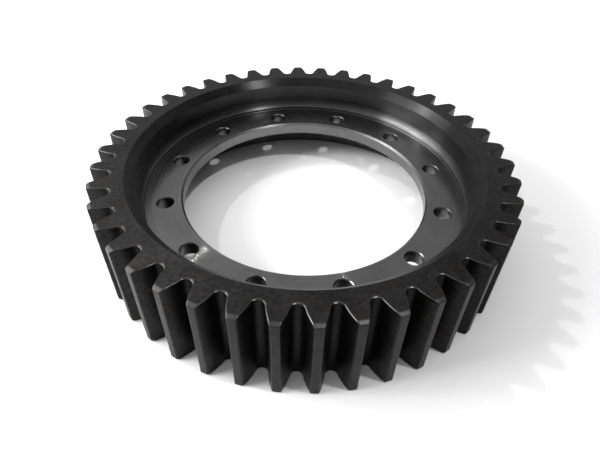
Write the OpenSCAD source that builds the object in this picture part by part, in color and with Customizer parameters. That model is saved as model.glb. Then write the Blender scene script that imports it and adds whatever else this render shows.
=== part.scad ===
// Spur gear with a recessed, drilled bolting web: one solid, made from one forged ring.
// The axis is Z, the lower face lies on Z = 0 and one tooth is centred on +X.
// All lengths are millimetres.

/* [Teeth] */
// Number of teeth
tooth_count = 42; // [30:1:72]
// Module: pitch diameter divided by the number of teeth
gear_module = 10; // [8:0.5:14]
// Pressure angle, in degrees
pressure_angle = 20; // [17.5:0.5:25]
// Width of the gear across its two faces
face_width = 94.5; // [65:0.5:160]
// How much each tooth is thinned on the pitch circle for running clearance
tooth_thinning = 0.25; // [0:0.05:1]
// Depth of the tooth space below the pitch circle, in modules
dedendum_factor = 1.15; // [1.1:0.01:1.3]
// Radius of the root fillets, in modules, where the tooth space is wide enough for it
root_fillet_factor = 0.5; // [0.25:0.01:0.5]
// Break on the corners between the flanks and the tip
tip_break = 1; // [0.25:0.25:2]
// Turned end chamfer of the teeth, measured along the radius
end_chamfer_radial = 3.5; // [1:0.25:6]
// Turned end chamfer of the teeth, measured along the axis
end_chamfer_axial = 1.25; // [0.5:0.25:5]

/* [Rim and recess] */
// Solid rim left between the tooth roots and the recess wall
rim_thickness = 21.5; // [14:0.5:40]
// Chamfer at the mouth of the upper recess, 45 degrees
upper_mouth_chamfer = 8; // [1:0.5:12]
// Chamfer at the mouth of the lower recess, 45 degrees
lower_mouth_chamfer = 4.5; // [1:0.5:12]
// Fillet between the recess wall and the web
recess_fillet = 13; // [2:0.5:15]

/* [Bolting web] */
// Thickness of the web, which stands midway between the two faces
web_thickness = 15.5; // [10:0.5:26]
// How far short of the recess wall the facing cut on each side of the web stops
facing_margin = 4.5; // [2:0.5:12]
// Number of bolt holes
bolt_count = 12; // [4:1:24]
// Diameter of each bolt hole
bolt_hole_diameter = 17.5; // [9:0.5:20]
// Edge chamfer of the bolt holes
bolt_hole_chamfer = 1; // [0.25:0.25:2]
// From the recess wall in to the bolt circle, with room for a bolt head beside the fillet
wall_to_bolt_circle = 26; // [22:0.5:40]
// From the bolt circle in to the bore
bolt_circle_to_bore = 18.5; // [16:0.5:60]
// Edge chamfer of the bore
bore_chamfer = 2; // [0.5:0.25:3]

/* [Hidden] */
$fn = 180;

pitch_radius = gear_module * tooth_count / 2;
tip_radius = pitch_radius + gear_module;
root_radius = pitch_radius - dedendum_factor * gear_module;
base_radius = pitch_radius * cos(pressure_angle);
tooth_pitch = 360 / tooth_count;

recess_radius = root_radius - rim_thickness;
upper_mouth_radius = recess_radius + upper_mouth_chamfer;
lower_mouth_radius = recess_radius + lower_mouth_chamfer;
web_bottom = (face_width - web_thickness) / 2;
web_top = face_width - web_bottom;
bolt_circle_radius = recess_radius - wall_to_bolt_circle;
bore_radius = bolt_circle_radius - bolt_circle_to_bore;
bolt_hole_radius = bolt_hole_diameter / 2;
// The holes straddle the axes: the first one stands half a step from +X
bolt_start = 180 / bolt_count;
// Cutting bodies run past the faces they open by this much
overrun = 1;

// The outline runs a little past the tips, and the turned blank then cuts the tips round
past_tip = 0.5;
flank_steps = 7;
fillet_steps = 5;

// Angle, in degrees, by which an involute has turned from its start after a roll in radians
function involute_angle(roll) = roll * 180 / PI - atan(roll);

// Roll at which the involute reaches a radius
function roll_at_radius(radius) = sqrt(max(0, pow(radius / base_radius, 2) - 1));

// Half the angle of a tooth where its flanks would meet the base circle
pitch_thickness = PI * gear_module / 2 - tooth_thinning;
half_angle_at_base =
    90 / PI * pitch_thickness / pitch_radius + involute_angle(tan(pressure_angle));

// The root fillet touches the root circle, and touches the flank along the flank's own normal,
// which is the line that unrolls from the base circle: so its centre has a roll of its own
function centre_roll(fillet) = roll_at_radius(root_radius + fillet);
function flank_start(fillet) = centre_roll(fillet) - fillet / base_radius;
function centre_angle(fillet) =
    half_angle_at_base - flank_start(fillet) * 180 / PI + atan(centre_roll(fillet));

// Largest fillet that leaves a short land at the root between it and its neighbour
root_land = 0.05;
function largest_fillet(low, high, tries) =
    tries == 0 ? low :
    let (middle = (low + high) / 2)
    centre_angle(middle) < tooth_pitch / 2 - root_land ?
        largest_fillet(middle, high, tries - 1) : largest_fillet(low, middle, tries - 1);
root_fillet = min(root_fillet_factor * gear_module, largest_fillet(0, gear_module, 24));

fillet_centre_radius = root_radius + root_fillet;
roll_at_fillet = flank_start(root_fillet);
roll_at_break = roll_at_radius(tip_radius - tip_break);
fillet_centre_angle = centre_angle(root_fillet);
toward_flank = half_angle_at_base - roll_at_fillet * 180 / PI + 270;
toward_root = fillet_centre_angle + 180;

// A point at a radius and an angle
function polar(radius, angle) = [radius * cos(angle), radius * sin(angle)];

// Point of a flank at a share of its height: side 1 is the left flank, side -1 the right one
function flank_point(share, side, centre) =
    let (roll = roll_at_fillet + share * (roll_at_break - roll_at_fillet))
    polar(base_radius * sqrt(1 + roll * roll),
          centre + side * (half_angle_at_base - involute_angle(roll)));

// End of the break at a tip corner, carried on in its own line past the tip circle
function break_point(side, centre) =
    let (low = flank_point(1, 1, 0))
    let (tip_angle = half_angle_at_base - involute_angle(roll_at_radius(tip_radius)))
    let (high = polar(tip_radius, tip_angle - tip_break / tip_radius * 180 / PI))
    let (point = high + past_tip * (high - low))
    polar(norm(point), centre + side * atan2(point[1], point[0]));

// Point of a root fillet, from the flank at share 0 to the root circle at share 1
function fillet_point(share, side, centre) =
    let (turn = toward_flank + share * (toward_root - toward_flank))
    let (point = polar(fillet_centre_radius, fillet_centre_angle) + polar(root_fillet, turn))
    polar(norm(point), centre + side * atan2(point[1], point[0]));

// Outline of one tooth, anticlockwise from the root on its right to the root on its left
function tooth_points(centre) = concat(
    [for (i = [fillet_steps:-1:1]) fillet_point(i / fillet_steps, -1, centre)],
    [for (i = [0:flank_steps]) flank_point(i / flank_steps, -1, centre)],
    [break_point(-1, centre), break_point(1, centre)],
    [for (i = [flank_steps:-1:0]) flank_point(i / flank_steps, 1, centre)],
    [for (i = [1:fillet_steps]) fillet_point(i / fillet_steps, 1, centre)]);

// The cutter's path round all the teeth, square to the faces
module toothed_prism() {
    linear_extrude(height = face_width)
        polygon([for (t = [0:tooth_count - 1]) each tooth_points(t * tooth_pitch)]);
}

// Metal left in the corner between web and wall: the fillet of the recess, with a step where
// the facing cut of the web stops; side 1 is the upper recess, side -1 the lower one
module corner_fillet(level, side) {
    left_standing = min(facing_margin, recess_fillet);
    translate([recess_radius, level])
        mirror([0, side > 0 ? 0 : 1])
            difference() {
                translate([-left_standing, -overrun])
                    square([left_standing + overrun, recess_fillet + overrun]);
                translate([-recess_fillet, recess_fillet])
                    circle(r = recess_fillet);
            }
}

// Half section of the turned ring: web, bore, both recesses, both faces and the chamfered tips
module turned_section() {
    polygon([
        [bore_radius, web_bottom + bore_chamfer],
        [bore_radius + bore_chamfer, web_bottom],
        [recess_radius, web_bottom],
        [recess_radius, lower_mouth_chamfer],
        [lower_mouth_radius, 0],
        [tip_radius - end_chamfer_radial, 0],
        [tip_radius, end_chamfer_axial],
        [tip_radius, face_width - end_chamfer_axial],
        [tip_radius - end_chamfer_radial, face_width],
        [upper_mouth_radius, face_width],
        [recess_radius, face_width - upper_mouth_chamfer],
        [recess_radius, web_top],
        [bore_radius + bore_chamfer, web_top],
        [bore_radius, web_top - bore_chamfer]]);
    corner_fillet(web_top, 1);
    corner_fillet(web_bottom, -1);
}

// One bolt hole with an edge chamfer at both faces of the web
module bolt_hole() {
    translate([0, 0, web_bottom - overrun])
        cylinder(h = web_thickness + 2 * overrun, r = bolt_hole_radius);
    translate([0, 0, web_top - bolt_hole_chamfer])
        cylinder(h = bolt_hole_chamfer + overrun,
                 r1 = bolt_hole_radius,
                 r2 = bolt_hole_radius + bolt_hole_chamfer + overrun);
    translate([0, 0, web_bottom - overrun])
        cylinder(h = bolt_hole_chamfer + overrun,
                 r1 = bolt_hole_radius + bolt_hole_chamfer + overrun,
                 r2 = bolt_hole_radius);
}

module ring_gear() {
    color("DimGray")
        difference() {
            intersection() {
                rotate_extrude()
                    turned_section();
                toothed_prism();
            }
            for (n = [0:bolt_count - 1])
                rotate(bolt_start + n * 360 / bolt_count)
                    translate([bolt_circle_radius, 0, 0])
                        bolt_hole();
        }
}

ring_gear();
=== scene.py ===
"""Spur gear with a recessed, drilled web, lying flat: a detailed mesh in the frame of the solids."""

import math

import bpy
from mathutils import Matrix, Vector, geometry


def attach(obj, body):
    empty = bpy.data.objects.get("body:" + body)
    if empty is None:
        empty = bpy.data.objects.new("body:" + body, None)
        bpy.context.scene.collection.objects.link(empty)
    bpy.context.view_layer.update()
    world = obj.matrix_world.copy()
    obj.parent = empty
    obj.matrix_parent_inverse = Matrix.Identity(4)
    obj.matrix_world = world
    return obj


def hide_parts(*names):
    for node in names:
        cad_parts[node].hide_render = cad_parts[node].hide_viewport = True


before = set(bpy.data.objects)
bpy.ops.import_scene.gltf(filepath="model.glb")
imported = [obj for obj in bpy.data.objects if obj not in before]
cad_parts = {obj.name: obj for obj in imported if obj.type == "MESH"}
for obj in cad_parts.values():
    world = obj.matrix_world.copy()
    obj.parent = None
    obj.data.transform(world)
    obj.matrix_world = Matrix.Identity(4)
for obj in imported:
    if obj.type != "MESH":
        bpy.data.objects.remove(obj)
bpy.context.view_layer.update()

# Sizes in millimetres, the same as the solids
TOOTH_COUNT = 42
MODULE = 10.0
PRESSURE_ANGLE = math.radians(20)
FACE_WIDTH = 94.5
TOOTH_THINNING = 0.25
ROOT_DEPTH = 11.5
ROOT_FILLET = 5.0
RECESS_RADIUS = 177.0
UPPER_MOUTH_CHAMFER = 8.0
LOWER_MOUTH_CHAMFER = 4.5
RECESS_FILLET = 13.0
FACING_MARGIN = 4.5
WEB_THICKNESS = 15.5
BORE_RADIUS = 132.5
BORE_CHAMFER = 2.0
BOLT_CIRCLE_RADIUS = 151.0
BOLT_COUNT = 12
BOLT_HOLE_RADIUS = 8.75
BOLT_HOLE_CHAMFER = 1.0
END_CHAMFER_RADIAL = 3.5
END_CHAMFER_AXIAL = 1.25

# Filed and worn edges of the teeth, which the solids leave sharp
FLANK_BREAK_INSET = 0.8
FLANK_BREAK_DEPTH = 0.6
ROOT_BREAK_FACTOR = 2.0
TIP_CORNER_ROUND = 1.75

# Radii that soften the ends of each chamfer and the step at the foot of a recess
END_CHAMFER_FACE_ROUND = 3.0
END_CHAMFER_TIP_ROUND = 0.8
BREAK_FACE_ROUND = 0.8
BREAK_FLANK_ROUND = 0.5
MOUTH_FACE_ROUND = 1.8
MOUTH_WALL_ROUND = 0.6
STEP_TOP_ROUND = 0.3
STEP_FOOT_ROUND = 0.9
BORE_EDGE_ROUND = 0.4
BOLT_HOLE_EDGE_ROUND = 0.3

# How far past a chamfer its finish goes on, over the rounding at its end
END_FINISH_REACH = 0.3
BREAK_FINISH_REACH = 0.1
MOUTH_FINISH_REACH = 0.2

# How far the teeth stay inside the solids' box
BOX_MARGIN = 0.01
# Points of the skin closer than this are welded into one
WELD_DISTANCE = 0.01
# Points of a flat face's outline closer than this count as one
SAME_POINT = 1e-6
# Two heights closer than this are level
SAME_HEIGHT = 1e-9
# Length of the straight pieces that only give a rounded section its direction
LEAD_IN = 5.0

PITCH_RADIUS = MODULE * TOOTH_COUNT / 2
TIP_RADIUS = PITCH_RADIUS + MODULE - BOX_MARGIN
ROOT_RADIUS = PITCH_RADIUS - ROOT_DEPTH
BASE_RADIUS = PITCH_RADIUS * math.cos(PRESSURE_ANGLE)
TOOTH_PITCH = 2 * math.pi / TOOTH_COUNT
WEB_BOTTOM = (FACE_WIDTH - WEB_THICKNESS) / 2
WEB_TOP = FACE_WIDTH - WEB_BOTTOM
# Where the facing cut of the web stops
FACING_RADIUS = RECESS_RADIUS - FACING_MARGIN
# Where the recess walls turn into the fillets at the web, measured in from each face
FOOT_START = WEB_BOTTOM - RECESS_FILLET

# Straight pieces for each curve
RING_STEPS = 8 * TOOTH_COUNT
HOLE_STEPS = 48
ROOT_FILLET_STEPS = 8
FLANK_STEPS = 8
TIP_CORNER_STEPS = 4
TOOTH_EDGE_STEPS = 3
MOUTH_EDGE_STEPS = 8
FOOT_STEPS = 10
STEP_EDGE_STEPS = 4
BORE_EDGE_STEPS = 4
BOLT_HOLE_EDGE_STEPS = 3

# Kinds of surface, each with a finish of its own
TEETH, ROOTS, ENDS, EDGES, FACES, MOUTH, WALL, FOOT, WEB, BORE, HOLES = range(11)


def polar(radius, angle):
    """The (x, y) of a point at a radius and an angle."""
    return (radius * math.cos(angle), radius * math.sin(angle))


def circle(radius, count=RING_STEPS, middle=(0.0, 0.0)):
    """Points evenly round a circle, anticlockwise."""
    return [(middle[0] + radius * math.cos(2 * math.pi * i / count),
             middle[1] + radius * math.sin(2 * math.pi * i / count)) for i in range(count)]


def rounded(corners, steps):
    """A polyline through (x, y, radius) corners, each turned into an arc of its radius."""
    out = []
    for i, (x, y, radius) in enumerate(corners):
        if radius == 0 or i in (0, len(corners) - 1):
            out.append((x, y))
            continue
        here = Vector((x, y))
        before = (Vector(corners[i - 1][:2]) - here).normalized()
        after = (Vector(corners[i + 1][:2]) - here).normalized()
        half = before.angle(after) / 2
        middle = here + (before + after).normalized() * (radius / math.sin(half))
        start = here + before * (radius / math.tan(half)) - middle
        end = here + after * (radius / math.tan(half)) - middle
        turn = start.angle_signed(end)
        for k in range(steps + 1):
            spun = Matrix.Rotation(-turn * k / steps, 2) @ start
            out.append(tuple(middle + spun))
    return out


def roll_at(radius):
    """Roll at which the involute of the base circle reaches a radius."""
    return math.sqrt(max(0.0, (radius / BASE_RADIUS) ** 2 - 1))


# Half the angle of a tooth where its flanks would meet the base circle
HALF_AT_BASE = ((math.pi * MODULE / 2 - TOOTH_THINNING) / (2 * PITCH_RADIUS)
                + math.tan(PRESSURE_ANGLE) - PRESSURE_ANGLE)

# The root fillet touches the root circle, and touches the flank along the flank's own normal
FILLET_CENTRE_RADIUS = ROOT_RADIUS + ROOT_FILLET
FILLET_CENTRE_ROLL = roll_at(FILLET_CENTRE_RADIUS)
FLANK_START_ROLL = FILLET_CENTRE_ROLL - ROOT_FILLET / BASE_RADIUS
FILLET_CENTRE_ANGLE = HALF_AT_BASE - FLANK_START_ROLL + math.atan(FILLET_CENTRE_ROLL)


def arc_point(centre, radius, turn):
    """A point of an arc in a tooth's outline, as (radius, angle) about the gear's axis."""
    x = centre[0] + radius * math.cos(turn)
    y = centre[1] + radius * math.sin(turn)
    return (math.hypot(x, y), math.atan2(y, x))


def root_fillet(inset):
    """The fillet from the root circle up to the flank, with the edge break widest at the root."""
    centre = polar(FILLET_CENTRE_RADIUS, FILLET_CENTRE_ANGLE)
    toward_flank = HALF_AT_BASE - FLANK_START_ROLL + 1.5 * math.pi
    toward_root = FILLET_CENTRE_ANGLE + math.pi
    points = []
    for i in range(ROOT_FILLET_STEPS, -1, -1):
        share = i / ROOT_FILLET_STEPS
        radius = ROOT_FILLET + inset * (1 + (ROOT_BREAK_FACTOR - 1) * share)
        points.append(arc_point(centre, radius, toward_flank + share * (toward_root - toward_flank)))
    return points


def flank(inset, low, high):
    """The involute between two rolls, inset evenly and without its ends."""
    points = []
    for i in range(1, FLANK_STEPS):
        roll = low + i / FLANK_STEPS * (high - low)
        angle = HALF_AT_BASE - inset / BASE_RADIUS - roll + math.atan(roll)
        points.append((BASE_RADIUS * math.sqrt(1 + roll * roll), angle))
    return points


def half_tooth(inset, tip_radius):
    """Half a tooth's outline as (radius, angle off its middle), from root to tip."""
    corner_radius = tip_radius - TIP_CORNER_ROUND
    corner_roll = roll_at(corner_radius)
    corner_start = HALF_AT_BASE - (inset + TIP_CORNER_ROUND) / BASE_RADIUS
    corner_angle = corner_start - corner_roll + math.atan(corner_roll)
    flank_normal = corner_start - corner_roll + math.pi / 2
    centre = polar(corner_radius, corner_angle)

    points = [(ROOT_RADIUS - ROOT_BREAK_FACTOR * inset, TOOTH_PITCH / 2)]
    points += root_fillet(inset)
    points += flank(inset, FLANK_START_ROLL - inset / BASE_RADIUS,
                    corner_roll + TIP_CORNER_ROUND / BASE_RADIUS)
    for i in range(TIP_CORNER_STEPS + 1):
        turn = flank_normal + i / TIP_CORNER_STEPS * (corner_angle - flank_normal)
        points.append(arc_point(centre, TIP_CORNER_ROUND, turn))
    points.append((tip_radius, corner_angle / 2))
    return points


def gear_outline(inset, tip_radius):
    """The whole toothed outline, anticlockwise."""
    half = half_tooth(inset, tip_radius)
    outline = []
    for tooth in range(TOOTH_COUNT):
        middle = tooth * TOOTH_PITCH
        outline += [polar(r, middle - a) for r, a in half]
        outline.append(polar(tip_radius, middle))
        outline += [polar(r, middle + a) for r, a in reversed(half[1:])]
    return outline


def tooth_slot(from_root, near_face):
    """Finish of a tooth's face: how many faces it is from the root, and how near to an end."""
    if from_root > ROOT_FILLET_STEPS + FLANK_STEPS:
        return ENDS if near_face < END_CHAMFER_AXIAL + END_FINISH_REACH else TEETH
    if near_face < FLANK_BREAK_DEPTH + BREAK_FINISH_REACH:
        return EDGES
    return ROOTS if from_root < ROOT_FILLET_STEPS else TEETH


def at_height(profile, z):
    """Where a rising profile of (across, height) points stands at a height."""
    for (a0, z0), (a1, z1) in zip(profile[1:], profile[2:]):
        rising = z1 - z0 > SAME_HEIGHT
        if rising and z <= z1:
            return a0 + (a1 - a0) * max(0.0, (z - z0) / (z1 - z0))
    return profile[-1][0]


def tooth_levels():
    """Heights from the lower face to mid width, each with its inset and tip radius."""
    tip = rounded([
        (TIP_RADIUS - END_CHAMFER_RADIAL - LEAD_IN, 0, 0),
        (TIP_RADIUS - END_CHAMFER_RADIAL, 0, END_CHAMFER_FACE_ROUND),
        (TIP_RADIUS, END_CHAMFER_AXIAL, END_CHAMFER_TIP_ROUND),
        (TIP_RADIUS, FACE_WIDTH / 2, 0)], TOOTH_EDGE_STEPS)
    edge = rounded([
        (FLANK_BREAK_INSET + LEAD_IN, 0, 0),
        (FLANK_BREAK_INSET, 0, BREAK_FACE_ROUND),
        (0, FLANK_BREAK_DEPTH, BREAK_FLANK_ROUND),
        (0, FACE_WIDTH / 2, 0)], TOOTH_EDGE_STEPS)
    heights = sorted({round(z, 3) for _, z in tip + edge})
    return [(z, at_height(edge, z), at_height(tip, z)) for z in heights]


def recess_section(chamfer):
    """Half section of a recess, from its mouth at height 0 to the web."""
    last_turn = math.acos(1 - FACING_MARGIN / RECESS_FILLET)
    foot = []
    for k in range(FOOT_STEPS + 1):
        turn = last_turn * k / FOOT_STEPS
        foot.append((RECESS_RADIUS - RECESS_FILLET * (1 - math.cos(turn)),
                     FOOT_START + RECESS_FILLET * math.sin(turn)))
    mouth = rounded([
        (RECESS_RADIUS + chamfer + LEAD_IN, 0, 0),
        (RECESS_RADIUS + chamfer, 0, MOUTH_FACE_ROUND),
        (RECESS_RADIUS, chamfer, MOUTH_WALL_ROUND),
        (RECESS_RADIUS, FOOT_START, 0)], MOUTH_EDGE_STEPS)
    step = rounded([
        (*foot[-2], 0),
        (*foot[-1], STEP_TOP_ROUND),
        (FACING_RADIUS, WEB_BOTTOM, STEP_FOOT_ROUND),
        (FACING_RADIUS - LEAD_IN, WEB_BOTTOM, 0)], STEP_EDGE_STEPS)
    return mouth[1:] + foot[1:-1] + step[1:-1]


def hole_section(radius, chamfer, edge_round, steps):
    """Half section of a hole through the web, chamfered at both faces."""
    lower = rounded([
        (radius + chamfer + LEAD_IN, WEB_BOTTOM, 0),
        (radius + chamfer, WEB_BOTTOM, edge_round),
        (radius, WEB_BOTTOM + chamfer, edge_round),
        (radius, FACE_WIDTH / 2, 0)], steps)[1:-1]
    return lower + [(r, FACE_WIDTH - z) for r, z in reversed(lower)]


def inside(point, ring):
    """Whether a point lies inside a closed ring: a line from it crosses the ring an odd number of times."""
    hit = False
    x, y = point
    j = len(ring) - 1
    for i in range(len(ring)):
        xi, yi = ring[i]
        xj, yj = ring[j]
        if (yi > y) != (yj > y) and x < (xj - xi) * (y - yi) / (yj - yi) + xi:
            hit = not hit
        j = i
    return hit


class GearSkin:
    """Points and faces of the gear, with the finish of each face."""

    def __init__(self):
        self.points = []
        self.faces = []
        self.slots = []

    def add_ring(self, outline, z):
        """The points of an outline at a height; returns the number of the first."""
        first = len(self.points)
        self.points += [(x, y, z) for x, y in outline]
        return first

    def add_face(self, corners, slot):
        """One face, with its finish."""
        self.faces.append(corners)
        self.slots.append(slot)

    def add_band(self, low, high, slots):
        """Faces between two rings, one for each slot, facing away from the axis."""
        count = len(slots)
        for i, slot in enumerate(slots):
            j = (i + 1) % count
            self.add_face((low + i, low + j, high + j, high + i), slot)

    def add_turned(self, section, slots, rising=True, middle=(0.0, 0.0), count=RING_STEPS):
        """A surface turned from a section of (radius, height) points, facing its upright axis."""
        rings = [self.add_ring(circle(radius, count, middle), z) for radius, z in section]
        for first, second, slot in zip(rings, rings[1:], slots):
            low, high = (first, second) if rising else (second, first)
            self.add_band(high, low, [slot] * count)

    def add_flat(self, outer, holes, z, upward, slot):
        """A flat face between one outer ring and the holes in it."""
        rings = [outer] + holes
        corners = [Vector(p) for ring in rings for p in ring]
        edges = []
        start = 0
        for ring in rings:
            count = len(ring)
            edges += [(start + i, start + (i + 1) % count) for i in range(count)]
            start += count
        points, _, triangles = geometry.delaunay_2d_cdt(corners, edges, [], 0, SAME_POINT)[:3]
        first = self.add_ring(points, z)
        for triangle in triangles:
            middle = sum((points[k] for k in triangle), Vector((0, 0))) / len(triangle)
            if not inside(middle, outer) or any(inside(middle, hole) for hole in holes):
                continue
            face = tuple(first + k for k in triangle)
            self.add_face(face if upward else face[::-1], slot)


def add_teeth(skin):
    """The toothed outside, mirrored about mid width."""
    lower = tooth_levels()[:-1]
    levels = lower + [(FACE_WIDTH - z, inset, radius) for z, inset, radius in reversed(lower)]
    rings = [skin.add_ring(gear_outline(inset, radius), z) for z, inset, radius in levels]
    per_tooth = (rings[1] - rings[0]) // TOOTH_COUNT
    for low, high, (z0, _, _), (z1, _, _) in zip(rings, rings[1:], levels, levels[1:]):
        near_face = min((z0 + z1) / 2, FACE_WIDTH - (z0 + z1) / 2)
        one_tooth = [tooth_slot(min(i, per_tooth - 1 - i), near_face) for i in range(per_tooth)]
        skin.add_band(low, high, one_tooth * TOOTH_COUNT)


def recess_slot(height, chamfer):
    """Finish of a recess at a height above its mouth's face."""
    if height < chamfer + MOUTH_FINISH_REACH:
        return MOUTH
    return WALL if height < FOOT_START else FOOT


def add_recess(skin, chamfer, upward):
    """The mouth, wall and foot of a recess, and the flat face round its mouth."""
    section = recess_section(chamfer)
    slots = [recess_slot((z0 + z1) / 2, chamfer) for (_, z0), (_, z1) in zip(section, section[1:])]
    placed = [(radius, FACE_WIDTH - z if upward else z) for radius, z in section]
    skin.add_turned(placed, slots, rising=not upward)
    _, inset, tip_radius = tooth_levels()[0]
    mouth = circle(section[0][0])
    skin.add_flat(gear_outline(inset, tip_radius), [mouth], FACE_WIDTH if upward else 0.0, upward, FACES)


def add_web(skin):
    """The bore, the bolt holes and the two faces of the web."""
    bore = hole_section(BORE_RADIUS, BORE_CHAMFER, BORE_EDGE_ROUND, BORE_EDGE_STEPS)
    skin.add_turned(bore, [BORE] * (len(bore) - 1))
    openings = [circle(bore[0][0])]
    hole = hole_section(BOLT_HOLE_RADIUS, BOLT_HOLE_CHAMFER, BOLT_HOLE_EDGE_ROUND, BOLT_HOLE_EDGE_STEPS)
    for n in range(BOLT_COUNT):
        middle = polar(BOLT_CIRCLE_RADIUS, math.pi / BOLT_COUNT + 2 * math.pi * n / BOLT_COUNT)
        skin.add_turned(hole, [HOLES] * (len(hole) - 1), middle=middle, count=HOLE_STEPS)
        openings.append(circle(hole[0][0], HOLE_STEPS, middle))
    # Both recesses end at the same radius
    web_edge = circle(recess_section(UPPER_MOUTH_CHAMFER)[-1][0])
    skin.add_flat(web_edge, openings, WEB_BOTTOM, False, WEB)
    skin.add_flat(web_edge, openings, WEB_TOP, True, WEB)


def build_gear():
    """The whole skin of the gear as one closed mesh."""
    skin = GearSkin()
    add_teeth(skin)
    add_recess(skin, LOWER_MOUTH_CHAMFER, upward=False)
    add_recess(skin, UPPER_MOUTH_CHAMFER, upward=True)
    add_web(skin)

    mesh = bpy.data.meshes.new("gear_skin")
    mesh.from_pydata([(x / 1000, y / 1000, z / 1000) for x, y, z in skin.points], [], skin.faces)
    mesh.polygons.foreach_set("material_index", skin.slots)
    mesh.polygons.foreach_set("use_smooth", [True] * len(skin.faces))
    mesh.update()
    gear = bpy.data.objects.new("gear_skin", mesh)
    bpy.context.scene.collection.objects.link(gear)

    weld = gear.modifiers.new("weld", "WELD")
    weld.merge_threshold = WELD_DISTANCE / 1000
    # Weighted by area, the normals of the large faces stay flat beside their narrow roundings
    normals = gear.modifiers.new("flat_faces", "WEIGHTED_NORMAL")
    normals.weight = 60
    normals.keep_sharp = True
    return gear


# Sizes of the marks in the steel, in millimetres: soft patches, mottling, brown specks and pits
PATCH_SIZE = 45
MOTTLE_SIZE = 3.8
SPECK_SIZE = 4.2
PIT_SIZE = 1.1
PIT_DEPTH = 0.05
# Real feed of the finishing cuts
GROOVE_SPACING = 0.2
# The same marks as lines of shade; real spacing is too fine to show, so they are drawn this coarse
LINE_SPACING = 1.4
# A noise pattern mostly stays between these values
NOISE_LOW = 0.3
NOISE_HIGH = 0.7
# Between these values of their noise, patches turn from dark to light and specks from clear to brown
PATCH_EDGE = (0.36, 0.64)
SPECK_EDGE = (0.58, 0.72)
# Mottling for each unit of grain
MOTTLE_STRENGTH = 1.5
STAIN_BROWN = "4a3020"


def srgb(code):
    """Linear colour of an sRGB hex code."""
    parts = [int(code[k:k + 2], 16) / 255 for k in (0, 2, 4)]
    linear = [c / 12.92 if c <= 0.04045 else ((c + 0.055) / 1.055) ** 2.4 for c in parts]
    return (*linear, 1.0)


def per_metre(size):
    """A noise pattern's scale, from the size of its marks in millimetres."""
    return 1000 / size


def add(tree, kind, inputs, stops=(), **settings):
    """Adds a node with its settings, its inputs as values or links, and the stops of its colour ramp."""
    made = tree.nodes.new(kind)
    for name, value in settings.items():
        setattr(made, name, value)
    for name, value in inputs.items():
        if isinstance(value, bpy.types.NodeSocket):
            tree.links.new(value, made.inputs[name])
        else:
            made.inputs[name].default_value = value
    if stops:
        points = made.color_ramp.elements
        while len(points) < len(stops):
            points.new(0.5)
        for point, (place, colour) in zip(points, stops):
            point.position = place
            point.color = colour
    return made


def turning_place(tree, place):
    """A point's way out from the axis, and its (radius, height), which turning marks follow alone."""
    parts = add(tree, "ShaderNodeSeparateXYZ", {"Vector": place}).outputs
    outward = add(tree, "ShaderNodeCombineXYZ", {"X": parts[0], "Y": parts[1]}).outputs[0]
    radius = add(tree, "ShaderNodeVectorMath", {0: outward}, operation="LENGTH").outputs["Value"]
    section = add(tree, "ShaderNodeCombineXYZ", {"X": radius, "Y": parts[2]}).outputs[0]
    return outward, section


def shaded(tree, colour, pattern, amount):
    """A colour made darker and lighter by a noise pattern, by up to an amount each way."""
    shade = add(tree, "ShaderNodeMapRange", {
        "Value": pattern, "From Min": NOISE_LOW, "From Max": NOISE_HIGH,
        "To Min": 1 - amount, "To Max": 1 + amount}).outputs[0]
    return add(tree, "ShaderNodeVectorMath", {0: colour, "Scale": shade}, operation="SCALE").outputs[0]


def stained(tree, colour, place, amount):
    """A colour with faint brown specks over it."""
    specks = add(tree, "ShaderNodeTexNoise", {
        "Vector": place, "Scale": per_metre(SPECK_SIZE), "Detail": 2.0, "Roughness": 0.5}).outputs[0]
    cover = add(tree, "ShaderNodeMapRange", {
        "Value": specks, "From Min": SPECK_EDGE[0], "From Max": SPECK_EDGE[1],
        "To Min": 0.0, "To Max": amount}).outputs[0]
    # Inputs 6 and 7 are the two colours that are mixed
    return add(tree, "ShaderNodeMix", {0: cover, 6: colour, 7: srgb(STAIN_BROWN)},
               data_type="RGBA").outputs[2]


def grooved_normal(tree, section, outward, amount):
    """The surface's normal, tilted in its own section plane by fine grooves round the axis."""
    marks = add(tree, "ShaderNodeTexNoise", {
        "Vector": section, "Scale": per_metre(GROOVE_SPACING), "Detail": 2.0},
        noise_dimensions="2D").outputs[0]
    slope = add(tree, "ShaderNodeMapRange", {
        "Value": marks, "From Min": NOISE_LOW, "From Max": NOISE_HIGH, "To Min": -1.0, "To Max": 1.0},
        clamp=False).outputs[0]
    # Squared with its sign kept: mostly smooth lands, with a few steep groove sides
    size = add(tree, "ShaderNodeMath", {0: slope}, operation="ABSOLUTE").outputs[0]
    steep = add(tree, "ShaderNodeMath", {0: slope, 1: size}, operation="MULTIPLY").outputs[0]
    tilt = add(tree, "ShaderNodeMath", {0: steep, 1: amount}, operation="MULTIPLY").outputs[0]

    facing = add(tree, "ShaderNodeNewGeometry", {}).outputs["Normal"]
    around = add(tree, "ShaderNodeVectorMath", {0: (0, 0, 1), 1: outward},
                 operation="CROSS_PRODUCT").outputs[0]
    around = add(tree, "ShaderNodeVectorMath", {0: around}, operation="NORMALIZE").outputs[0]
    across = add(tree, "ShaderNodeVectorMath", {0: facing, 1: around},
                 operation="CROSS_PRODUCT").outputs[0]
    lean = add(tree, "ShaderNodeVectorMath", {0: across, "Scale": tilt}, operation="SCALE").outputs[0]
    leaned = add(tree, "ShaderNodeVectorMath", {0: facing, 1: lean}, operation="ADD").outputs[0]
    return add(tree, "ShaderNodeVectorMath", {0: leaned}, operation="NORMALIZE").outputs[0]


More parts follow.
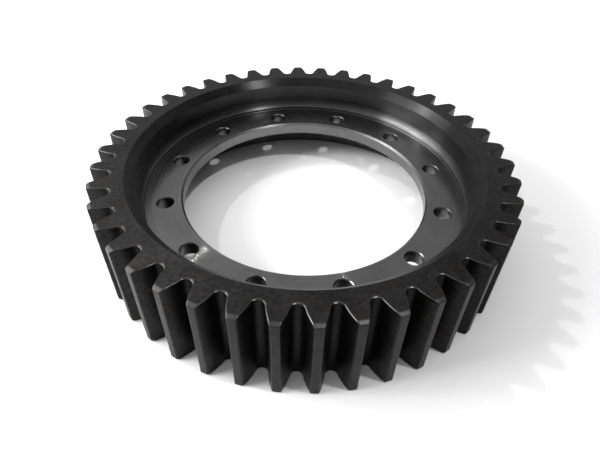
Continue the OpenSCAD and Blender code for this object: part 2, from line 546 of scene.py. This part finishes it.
def steel(name, dark, light, roughness, brushed=0.0, grooves=0.0, lines=0.0, grain=0.0, stains=0.0):
    """Steel whose colour and gloss vary in soft patches; every amount runs from 0, for none, to about 1.

    brushed stretches the highlights across the turning marks, grooves tilts the surface in fine rings
    about the axis, lines shades it in coarser rings, grain mottles it and, where it has no grooves,
    pits it, and stains adds faint brown specks.
    """
    material = bpy.data.materials.new(name)
    material.use_nodes = True
    tree = material.node_tree
    shader = tree.nodes["Principled BSDF"]
    shader.inputs["Metallic"].default_value = 1.0
    place = add(tree, "ShaderNodeTexCoord", {}).outputs["Object"]
    patches = add(tree, "ShaderNodeTexNoise", {
        "Vector": place, "Scale": per_metre(PATCH_SIZE), "Detail": 5.0, "Roughness": 0.6}).outputs[0]
    colour = add(tree, "ShaderNodeValToRGB", {"Fac": patches},
                 stops=[(PATCH_EDGE[0], srgb(dark)), (PATCH_EDGE[1], srgb(light))]).outputs[0]
    gloss = add(tree, "ShaderNodeMapRange", {
        "Value": patches, "From Min": NOISE_LOW, "From Max": NOISE_HIGH,
        "To Min": roughness[0], "To Max": roughness[1]}).outputs[0]
    tree.links.new(gloss, shader.inputs["Roughness"])

    if lines or grooves:
        outward, section = turning_place(tree, place)
    if lines:
        feed = add(tree, "ShaderNodeTexNoise", {
            "Vector": section, "Scale": per_metre(LINE_SPACING), "Detail": 3.0, "Roughness": 0.7},
            noise_dimensions="2D").outputs[0]
        colour = shaded(tree, colour, feed, lines)
    if grain:
        mottle = add(tree, "ShaderNodeTexNoise", {
            "Vector": place, "Scale": per_metre(MOTTLE_SIZE), "Detail": 4.0, "Roughness": 0.7}).outputs[0]
        colour = shaded(tree, colour, mottle, MOTTLE_STRENGTH * grain)
    if stains:
        colour = stained(tree, colour, place, stains)
    tree.links.new(colour, shader.inputs["Base Color"])

    if brushed:
        tangent = add(tree, "ShaderNodeTangent", {}, direction_type="RADIAL", axis="Z").outputs[0]
        tree.links.new(tangent, shader.inputs["Tangent"])
        shader.inputs["Anisotropic"].default_value = brushed
        # A quarter turn, from along the marks to across them
        shader.inputs["Anisotropic Rotation"].default_value = 0.25
    if grooves:
        tree.links.new(grooved_normal(tree, section, outward, grooves), shader.inputs["Normal"])
    elif grain:
        fine = add(tree, "ShaderNodeTexNoise", {
            "Vector": place, "Scale": per_metre(PIT_SIZE), "Detail": 3.0, "Roughness": 0.6}).outputs[0]
        pits = add(tree, "ShaderNodeBump", {
            "Strength": grain, "Distance": PIT_DEPTH / 1000, "Height": fine}).outputs[0]
        tree.links.new(pits, shader.inputs["Normal"])
    return material


# The finishes, in the order of the kinds of surface
finishes = [
    # Hobbed, then quenched and tempered: nearly black, with a soft and broken sheen
    steel("hardened_tooth_steel", "1e1e1e", "262626", (0.36, 0.46), grain=0.4, stains=0.25),
    # The same, never rubbed by a mating gear, so duller; its darker colour is painted shade, so that the
    # tooth spaces stay dark
    steel("root_steel_painted_shade", "161616", "1c1c1c", (0.44, 0.54), grain=0.4, stains=0.25),
    # Turned chamfer at the tooth tips: a plain grey band that ends each tooth, paler than the teeth partly
    # by its turned finish and partly as painted highlight
    steel("tooth_end_painted_highlight", "3a3a3a", "464646", (0.36, 0.44)),
    # Filed edges, glossier than the teeth, with a paler colour that is a painted highlight: a thin light
    # line round each tooth
    steel("edge_steel_painted_highlight", "3a3a3a", "464646", (0.24, 0.30)),
    # Turned, then stained by oil and storage: dark grey, mottled, with faint brown specks
    steel("turned_rim_face", "262626", "303030", (0.40, 0.52), brushed=0.4, grain=0.3, stains=0.35),
    # Turned chamfer at the mouth of a recess: a smooth dark band with faint rings
    steel("turned_mouth_chamfer", "2b2b2b", "353535", (0.28, 0.34), brushed=0.9, grooves=0.06, lines=0.15),
    # Turned wall: satin, with clear rings and highlights drawn out across them
    steel("dark_recess_wall", "404040", "4a4a4a", (0.27, 0.31), brushed=0.9, lines=0.3),
    # Left by the round nose of the tool: grooves spread its glare into soft rings
    steel("turned_fillet", "4b4b4b", "555555", (0.28, 0.32), brushed=0.9, grooves=0.3, lines=0.15),
    # Faced with a fine feed: nearly a mirror, whose grooves draw each lamp out into a radial streak
    steel("fine_turned_web", "606060", "6a6a6a", (0.115, 0.135), brushed=0.99, grooves=0.6, lines=0.06),
    # Bored to size for the hub's spigot: the brightest steel, smooth and clean
    steel("bored_spigot_seat", "6a6a6a", "747474", (0.24, 0.32), brushed=0.5, grooves=0.03),
    # Drilled: bright steel with an uneven gloss
    steel("drilled_hole_steel", "5c5c5c", "686868", (0.22, 0.34)),
]
gear = build_gear()
for finish in finishes:
    gear.data.materials.append(finish)
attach(gear, "root")
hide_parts("ring_gear")

# The photograph's camera, fitted to the outline, the bolt holes and the turned edges
CAMERA_PITCH = math.radians(42.074)
CAMERA_ROLL = math.radians(1.466)
# Turn of the camera round the gear's axis, from straight in front
CAMERA_TURN = math.radians(1.015)
# Place before that turn, in metres, with the height counted from the upper face
CAMERA_PLACE = (-0.003743, -0.426551, 0.285531)
CAMERA_LENS = 28.866
CAMERA_SENSOR_WIDTH = 36

# The room, in metres
FLOOR_REACH = 6
SCREEN_RADIUS = 4.0
SCREEN_HEIGHT = 9.0
SCREEN_STEPS = 48
SCREEN_START = math.radians(-160)
SCREEN_END = math.radians(150)
# Grey of the screen's painted glow at a share of the way up the sky, seen from the gear
SCREEN_GREYS = ((0.0, 0.35), (0.30, 0.65), (0.75, 1.0))
# Strength of the screen's light, opposite the window and beside it
SCREEN_DARK_SIDE = 0.15
SCREEN_BRIGHT_SIDE = 1.15
TOWARD_WINDOW = (-0.82, 0.57, 0.0)
WINDOW_DISTANCE = 2.2
WINDOW_PANE_SIZE = 0.6
# Panes of the low window at the left: azimuth and elevation in degrees, and watts
WINDOW_PANES = ((150, 15, 2), (166, 22, 12), (182, 28, 24), (197, 34, 24))
LAMP_AIM = (0, 0, 0.05)


def place_camera():
    """The photograph's camera, turned about its own axes and then round the gear."""
    forward = Vector((0, math.cos(CAMERA_PITCH), -math.sin(CAMERA_PITCH)))
    right = Vector((1, 0, 0))
    up = right.cross(forward)
    side = math.cos(CAMERA_ROLL) * right + math.sin(CAMERA_ROLL) * up
    top = -math.sin(CAMERA_ROLL) * right + math.cos(CAMERA_ROLL) * up
    basis = Matrix((side, top, -forward)).transposed()
    spin = Matrix.Rotation(CAMERA_TURN, 3, "Z")
    data = bpy.data.cameras.new("photo_camera")
    data.sensor_width = CAMERA_SENSOR_WIDTH
    data.lens = CAMERA_LENS
    data.clip_start = 0.01
    camera = bpy.data.objects.new("photo_camera", data)
    x, y, above_face = CAMERA_PLACE
    place = Vector((x, y, above_face + FACE_WIDTH / 1000))
    camera.matrix_world = Matrix.Translation(spin @ place) @ (spin @ basis).to_4x4()
    bpy.context.scene.collection.objects.link(camera)
    bpy.context.scene.camera = camera


def lamp(name, place, size, watts):
    """A square soft lamp, aimed at the gear."""
    data = bpy.data.lights.new(name, "AREA")
    data.shape = "SQUARE"
    data.size = size
    data.energy = watts
    made = bpy.data.objects.new(name, data)
    made.location = place
    made.rotation_euler = (Vector(LAMP_AIM) - Vector(place)).to_track_quat("-Z", "Y").to_euler()
    bpy.context.scene.collection.objects.link(made)


def sheet(name, points, faces, material):
    """A thin sheet of the room, with its material."""
    mesh = bpy.data.meshes.new(name)
    mesh.from_pydata(points, [], faces)
    mesh.materials.append(material)
    made = bpy.data.objects.new(name, mesh)
    bpy.context.scene.collection.objects.link(made)
    return made


def painted_room_glow():
    """A glowing sheet with painted room light and shade: brighter towards its top and towards the window,
    for the steel to mirror.
    """
    material = bpy.data.materials.new("painted_room_glow")
    material.use_nodes = True
    tree = material.node_tree
    tree.nodes.remove(tree.nodes["Principled BSDF"])
    place = add(tree, "ShaderNodeTexCoord", {}).outputs["Object"]
    place = add(tree, "ShaderNodeVectorMath", {0: place}, operation="NORMALIZE").outputs[0]
    parts = add(tree, "ShaderNodeSeparateXYZ", {"Vector": place}).outputs
    grey = add(tree, "ShaderNodeValToRGB", {"Fac": parts[2]},
               stops=[(share, (level, level, level, 1)) for share, level in SCREEN_GREYS]).outputs[0]
    nearness = add(tree, "ShaderNodeVectorMath", {0: place, 1: TOWARD_WINDOW},
                   operation="DOT_PRODUCT").outputs["Value"]
    strength = add(tree, "ShaderNodeMapRange", {
        "Value": nearness, "From Min": -0.8, "From Max": 0.7,
        "To Min": SCREEN_DARK_SIDE, "To Max": SCREEN_BRIGHT_SIDE}).outputs[0]
    painted_glow = add(tree, "ShaderNodeEmission", {"Color": grey, "Strength": strength}).outputs[0]
    tree.links.new(painted_glow, tree.nodes["Material Output"].inputs["Surface"])
    return material


def painted_light_screen():
    """A curved screen round the floor that glows with painted room light and shade, open on the window's
    side and hidden from the camera.
    """
    turn = (SCREEN_END - SCREEN_START) / SCREEN_STEPS
    arc = [polar(SCREEN_RADIUS, SCREEN_START + turn * i) for i in range(SCREEN_STEPS + 1)]
    points = [(x, y, z) for z in (0.0, SCREEN_HEIGHT) for x, y in arc]
    above = len(arc)
    faces = [(i, i + 1, above + i + 1, above + i) for i in range(SCREEN_STEPS)]
    screen = sheet("painted_light_screen", points, faces, painted_room_glow())
    screen.visible_camera = False


def pale_floor():
    """A matt, nearly white floor."""
    material = bpy.data.materials.new("pale_floor")
    material.use_nodes = True
    shader = material.node_tree.nodes["Principled BSDF"]
    shader.inputs["Base Color"].default_value = srgb("fafafa")
    shader.inputs["Roughness"].default_value = 0.9
    reach = FLOOR_REACH
    corners = [(-reach, -reach, 0), (reach, -reach, 0), (reach, reach, 0), (-reach, reach, 0)]
    floor = sheet("floor", corners, [(0, 1, 2, 3)], material)


def studio():
    """A pale floor under a white world, the glowing screen of painted room light and shade, two small lamps
    and the window.
    """
    pale_floor()
    world = bpy.data.worlds.new("room")
    world.use_nodes = True
    world.node_tree.nodes["Background"].inputs[0].default_value = (1, 1, 1, 1)
    bpy.context.scene.world = world
    painted_light_screen()

    # These two give the narrow bright streaks across the web
    lamp("overhead", place=(0.79, -0.40, 2.34), size=0.10, watts=14)
    lamp("left_lamp", place=(-1.482, 0.595, 2.018), size=0.08, watts=11)
    for azimuth, elevation, watts in WINDOW_PANES:
        up = math.radians(elevation)
        x, y = polar(WINDOW_DISTANCE * math.cos(up), math.radians(azimuth))
        place = (x, y, WINDOW_DISTANCE * math.sin(up))
        lamp(f"window_{azimuth}", place, WINDOW_PANE_SIZE, watts)


place_camera()
studio()
bpy.context.scene.view_settings.view_transform = "Standard"
